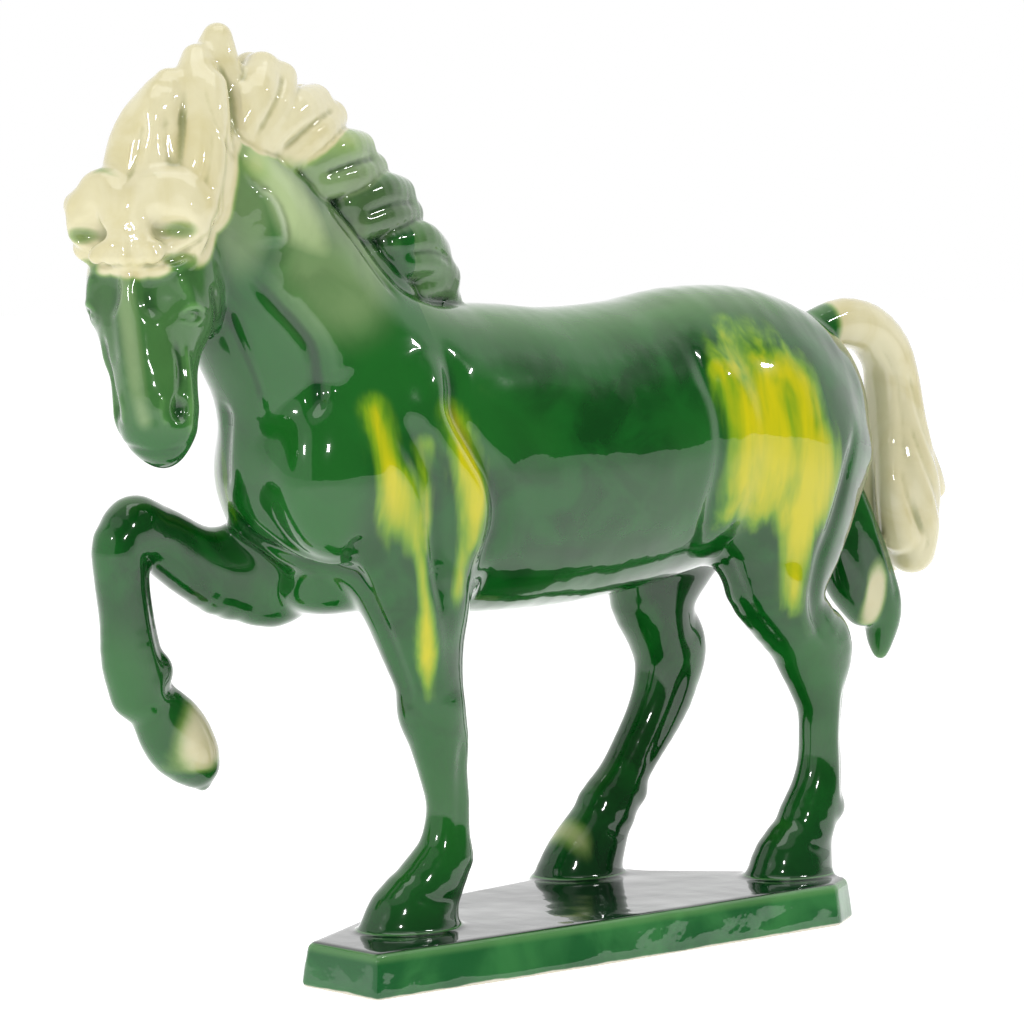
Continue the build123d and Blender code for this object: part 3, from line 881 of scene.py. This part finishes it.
class Nodes:
    """Short calls for building one material's nodes."""

    def __init__(self, name):
        self.material = bpy.data.materials.new(name)
        self.material.use_nodes = True
        self.tree = self.material.node_tree
        self.shader = self.tree.nodes["Principled BSDF"]

    def add(self, kind, **settings):
        node = self.tree.nodes.new(kind)
        for key, value in settings.items():
            setattr(node, key, value)
        return node

    def link(self, source, target):
        self.tree.links.new(source, target)

    def put(self, value, socket):
        """Links an output to the socket, or sets a constant on it."""
        if isinstance(value, bpy.types.NodeSocket):
            self.link(value, socket)
        else:
            socket.default_value = value

    def value(self, name):
        return self.add("ShaderNodeAttribute", attribute_name=name).outputs["Fac"]

    def place(self, scale=(1, 1, 1), offset=(0, 0, 0)):
        """Object coordinates, stretched."""
        coordinates = self.add("ShaderNodeTexCoord")
        mapping = self.add("ShaderNodeMapping")
        fill(mapping, {"Scale": scale, "Location": offset})
        self.link(coordinates.outputs["Object"], mapping.inputs["Vector"])
        return mapping.outputs["Vector"]

    def noise(self, scale, detail, stretch=(1, 1, 1), distortion=0.0, offset=(0, 0, 0)):
        node = self.add("ShaderNodeTexNoise")
        self.link(self.place(stretch, offset), node.inputs["Vector"])
        fill(node, {"Scale": scale, "Detail": detail, "Roughness": 0.5, "Distortion": distortion})
        return node.outputs["Fac"]

    def math(self, operation, a, b):
        node = self.add("ShaderNodeMath", operation=operation)
        self.put(a, node.inputs[0])
        self.put(b, node.inputs[1])
        return node.outputs[0]

    def ramp(self, value, low, high, to_low=0.0, to_high=1.0):
        """A smooth step from low to high."""
        node = self.add("ShaderNodeMapRange", interpolation_type="SMOOTHSTEP")
        self.put(value, node.inputs["Value"])
        fill(node, {"From Min": low, "From Max": high, "To Min": to_low, "To Max": to_high})
        return node.outputs["Result"]

    def mix(self, factor, a, b):
        node = self.add("ShaderNodeMix", data_type="RGBA")
        self.put(factor, node.inputs["Factor"])
        self.put(a, node.inputs["A"])
        self.put(b, node.inputs["B"])
        return node.outputs["Result"]

    def bump(self, height, distance, under=None):
        node = self.add("ShaderNodeBump")
        self.put(height, node.inputs["Height"])
        fill(node, {"Distance": distance, "Strength": 1.0})
        if under is not None:
            self.link(under, node.inputs["Normal"])
        return node.outputs["Normal"]


def make_horse_glaze():
    """Green glaze that runs and pools, with cream hair and yellow patches, under a thick clear gloss;
    upward faces and the top of the back carry a painted sheen.
    """
    n = Nodes("horse_glaze")
    groove, ridge, wide = n.value("groove"), n.value("ridge"), n.value("wide_groove")
    mottle = n.noise(45, 5, distortion=0.8)
    cloud = n.noise(13, 2, offset=(3, 1, 2))
    runs = n.noise(110, 3, stretch=(1, 1, 0.16), distortion=0.3)
    green = n.mix(n.ramp(mottle, 0.36, 0.66), srgb(3, 62, 14), srgb(12, 86, 24))
    green = n.mix(n.ramp(cloud, 0.42, 0.66, 0, 0.8), green, srgb(28, 98, 32))
    # painted sheen: faces that look up are lightened, standing in for the overhead light's reflection
    green = n.mix(n.ramp(n.value("up"), 0.5, 1.0, 0, 0.55), green, srgb(56, 124, 38))
    green = n.mix(n.ramp(n.value("wide_ridge"), 0.15, 0.7, 0, 0.6), green, srgb(72, 130, 64))
    # pale glaze where it runs thin along the crest and nose, plus a painted sheen along the top of the
    # back
    pale_glaze_and_sheen = n.math("MULTIPLY", n.value("pale"), n.ramp(mottle, 0.3, 0.6, 0.85, 1.0))
    green = n.mix(n.ramp(pale_glaze_and_sheen, 0.0, 1.0, 0, 0.92), green, srgb(180, 198, 146))
    green = n.mix(n.math("MULTIPLY", n.value("deep"), 0.8), green, srgb(4, 44, 22))
    green = n.mix(n.ramp(ridge, 0.08, 0.5, 0, 0.6), green, srgb(100, 150, 82))
    there = n.ramp(n.value("yellow"), 0.03, 0.3)
    streaks = n.math("MULTIPLY", n.math("MULTIPLY", n.math("SUBTRACT", runs, 0.55), 1.7), there)
    patch = n.math("ADD", n.value("yellow"), streaks)
    green = n.mix(n.ramp(patch, 0.05, 0.6, 0, 0.85), green, srgb(112, 158, 24))
    green = n.mix(n.ramp(patch, 0.35, 1.1), green, srgb(196, 188, 14))
    green = n.mix(n.ramp(groove, 0.06, 0.45, 0, 0.75), green, srgb(3, 32, 16))
    green = n.mix(n.ramp(wide, 0.08, 0.5, 0, 0.7), green, srgb(6, 50, 24))
    cream = n.mix(n.ramp(mottle, 0.4, 0.7), srgb(214, 207, 170), srgb(204, 195, 150))
    cream = n.mix(n.ramp(groove, 0.04, 0.35, 0, 0.7), cream, srgb(146, 146, 96))
    cream = n.mix(n.ramp(wide, 0.1, 0.5, 0, 0.6), cream, srgb(122, 130, 82))
    edge = n.math("ADD", n.value("cream"), n.math("MULTIPLY", n.math("SUBTRACT", mottle, 0.5), 0.5))
    green = n.mix(n.ramp(edge, 0.1, 0.6, 0, 0.6), green, srgb(150, 180, 96))
    n.link(n.mix(n.ramp(edge, 0.35, 0.85), green, cream), n.shader.inputs["Base Color"])
    finish_glaze(n)
    return n.material


def make_plinth_glaze():
    """Near-black green on top, mid green down the sides, and bare clay at the foot."""
    n = Nodes("plinth_glaze")
    mottle = n.noise(38, 4, distortion=0.6)
    runs = n.noise(60, 3, stretch=(1, 1, 0.3))
    height = n.add("ShaderNodeSeparateXYZ")
    n.link(n.place(), height.inputs[0])
    z = height.outputs["Z"]
    side = n.mix(n.ramp(mottle, 0.35, 0.65), srgb(26, 92, 44), srgb(52, 120, 62))
    side = n.mix(n.ramp(z, 0.011, 0.0135, 0, 0.45), side, srgb(110, 160, 96))
    top = n.mix(n.ramp(mottle, 0.4, 0.7), srgb(4, 24, 14), srgb(8, 40, 22))
    colour = n.mix(n.ramp(n.value("up"), 0.75, 0.98), side, top)
    colour = n.mix(n.ramp(n.value("groove"), 0.05, 0.3), colour, srgb(6, 30, 16))
    foot = n.math("ADD", z, n.math("MULTIPLY", n.math("SUBTRACT", runs, 0.5), 0.002))
    glazed = n.ramp(foot, 0.0006, 0.0012)
    n.link(n.mix(glazed, srgb(214, 208, 190), colour), n.shader.inputs["Base Color"])
    finish_glaze(n)
    return n.material


def finish_glaze(n):
    """Clear gloss whose surface undulates a little."""
    fill(n.shader, {"Roughness": 0.2, "IOR": 1.4, "Specular IOR Level": 0.1})
    fill(n.shader, {"Coat Weight": 1.0, "Coat Roughness": 0.02, "Coat IOR": 1.55})
    swell = n.noise(24, 2, offset=(7, 2, 5))
    fine = n.noise(150, 2, offset=(1, 8, 3))
    waves = n.bump(fine, 0.00008, under=n.bump(swell, 0.0015))
    n.link(waves, n.shader.inputs["Normal"])
    n.link(waves, n.shader.inputs["Coat Normal"])


horse_glaze = make_horse_glaze()
plinth_glaze = make_plinth_glaze()


def fire(name, clay, points, tris):
    """One luted section as a finished piece that stands for its CAD node."""
    piece = make_piece(name, clay, points, tris, plinth_glaze if name == "plinth" else horse_glaze)
    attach(piece, "root")
    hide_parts(name)


body = Clay((-210, -62, -4), (184, 52, 246), 1.04)
sculpt(body)
body.soften()
points, tris = skin(body)
points, _, tris = divide(points, tris, height_over(points, *NECK_SEAM))
for name, side in LOWER_SECTIONS.items():
    points, own, tris = divide(points, tris, side(points))
    fire(name, body, points, own)
fire("torso", body, points, tris)

top = Clay((26, -54, 164), (206, 48, 322), 0.6)
sculpt(top)
top.soften()
points, tris = skin(top)
points, tris, _ = divide(points, tris, height_over(points, *NECK_SEAM) - SEAM_OVERLAP)
# beside each point, its distance to every upper piece's own shape
points = np.column_stack([points, *(shape(points) for shape in UPPER_SHAPES.values())])
for i, name in enumerate(UPPER_SHAPES):
    own = tris
    if i + 1 < len(UPPER_SHAPES):
        side = points[:, 3 + i] - points[:, 4 + i :].min(1)
        points, own, tris = divide(points, tris, side)
    fire(name, top, points[:, :3], own)


# --- Floor, light and camera ---
def make_floor():
    bpy.ops.mesh.primitive_plane_add(size=12, location=(0, 0, 0))
    floor = bpy.context.object
    floor.name = "studio_floor"
    n = Nodes("studio_floor")
    fill(n.shader, {"Base Color": (0.9, 0.9, 0.9, 1), "Roughness": 1.0, "Specular IOR Level": 0.0})
    fill(n.shader, {"Emission Color": (1, 1, 1, 1), "Emission Strength": 0.5})
    floor.data.materials.append(n.material)


def make_light(name, place, aim, size, power):
    """A rectangular softbox at place, turned to aim."""
    light = bpy.data.lights.new(name, "AREA")
    light.shape = "RECTANGLE"
    light.size, light.size_y = size
    light.energy = power
    lamp = bpy.data.objects.new(name, light)
    lamp.location = place
    lamp.rotation_mode = "QUATERNION"
    lamp.rotation_quaternion = (Vector(aim) - Vector(place)).to_track_quat("-Z", "Y")
    bpy.context.scene.collection.objects.link(lamp)


CAMERA_TARGET = Vector((0.0517, 0.0382, 0.1558))
CAMERA_DISTANCE = 1.324
CAMERA_LENS = 140.6


def make_camera(azimuth, elevation):
    a, e = math.radians(azimuth), math.radians(elevation)
    back = Vector((math.sin(a) * math.cos(e), -math.cos(a) * math.cos(e), math.sin(e)))
    data = bpy.data.cameras.new("camera")
    data.lens = CAMERA_LENS
    camera = bpy.data.objects.new("camera", data)
    camera.location = CAMERA_TARGET + back * CAMERA_DISTANCE
    camera.rotation_mode = "QUATERNION"
    camera.rotation_quaternion = (-back).to_track_quat("-Z", "Y")
    bpy.context.scene.collection.objects.link(camera)
    bpy.context.scene.camera = camera


def make_world():
    """A white wall behind the horse and one at its head, a pale ceiling, and a dim room in front."""
    world = bpy.data.worlds.new("studio")
    world.use_nodes = True
    tree = world.node_tree
    background = tree.nodes["Background"]
    direction = tree.nodes.new("ShaderNodeTexCoord").outputs["Generated"]

    def panel(toward, low, high, bright):
        dot = tree.nodes.new("ShaderNodeVectorMath")
        dot.operation = "DOT_PRODUCT"
        tree.links.new(direction, dot.inputs[0])
        dot.inputs[1].default_value = Vector(toward).normalized()
        ramp = tree.nodes.new("ShaderNodeMapRange")
        tree.links.new(dot.outputs["Value"], ramp.inputs["Value"])
        fill(ramp, {"From Min": low, "From Max": high, "To Min": 0.1, "To Max": bright})
        return ramp.outputs["Result"]

    bright = panel((-0.643, -0.766, 0), 0.0, 0.25, 1.0)
    for other in (panel((1, -0.15, 0.1), 0.66, 0.7, 0.8), panel((0, 0, 1), 0.72, 0.76, 0.5)):
        larger = tree.nodes.new("ShaderNodeMath")
        larger.operation = "MAXIMUM"
        tree.links.new(bright, larger.inputs[0])
        tree.links.new(other, larger.inputs[1])
        bright = larger.outputs[0]
    background.inputs["Color"].default_value = (1, 1, 1, 1)
    tree.links.new(bright, background.inputs["Strength"])
    bpy.context.scene.world = world


make_floor()
make_world()
make_camera(azimuth=140, elevation=4.6)
middle = (0, 0, 0.16)
make_light("overhead_softbox", (0.1, 0.2, 1.5), middle, (1.2, 0.9), 6)
make_light("front_strip", (0.55, 1.25, 0.75), middle, (0.1, 0.16), 3.5)
make_light("flank_strip", (-0.6, 0.72, 0.92), middle, (0.2, 0.035), 2.2)
make_light("head_strip", (1.25, 0.35, 0.7), middle, (0.06, 0.12), 3)
bpy.context.scene.view_settings.view_transform = "Standard"
